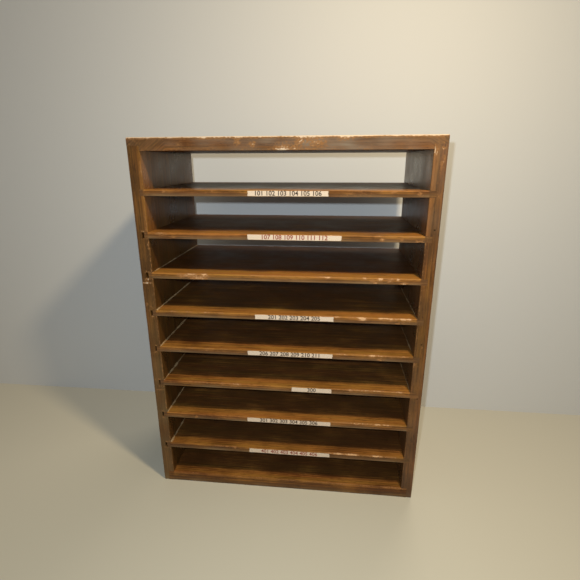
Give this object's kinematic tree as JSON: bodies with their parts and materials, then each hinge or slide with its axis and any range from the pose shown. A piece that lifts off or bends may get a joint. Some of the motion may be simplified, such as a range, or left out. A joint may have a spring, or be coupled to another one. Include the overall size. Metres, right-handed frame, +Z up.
{
  "type": "pigeonhole letter rack",
  "caption": "Open wooden pigeonhole case with a stack of wide shallow slots for sorting envelopes, its thin shelves housed in grooves across the sides.",
  "frame": {"origin": "on the floor plane under the middle of the case's outer box", "axes": "+Z up, the slots' fronts face -Y, +X to the right seen from the front"},
  "size_m": [0.3048, 0.1526, 0.4064],
  "materials": {
    "case_wood": "brown-stained, satin-varnished hardwood boards, worn on the front edges",
    "shelf_wood": "brown-stained, satin-varnished thin boards, worn along the front arrises",
    "label_paper": "aged cream paper strips glued to the shelf fronts, matte, plain",
    "nail_steel": "dull steel finish nails and brads"
  },
  "bodies": {
    "root": {"left_side": "case_wood", "right_side": "case_wood", "top_board": "case_wood", "bottom_board": "case_wood", "shelf_1": "shelf_wood", "shelf_2": "shelf_wood", "shelf_3": "shelf_wood", "shelf_4": "shelf_wood", "shelf_5": "shelf_wood", "shelf_6": "shelf_wood", "shelf_7": "shelf_wood", "shelf_8": "shelf_wood", "label_1": "label_paper", "label_2": "label_paper", "label_4": "label_paper", "label_5": "label_paper", "label_6": "label_paper", "label_7": "label_paper", "label_8": "label_paper", "top_nails_left": "nail_steel", "top_nails_right": "nail_steel", "foot_nails_left": "nail_steel", "foot_nails_right": "nail_steel", "shelf_brads_left": "nail_steel", "shelf_brads_right": "nail_steel"}
  },
  "joints": []
}
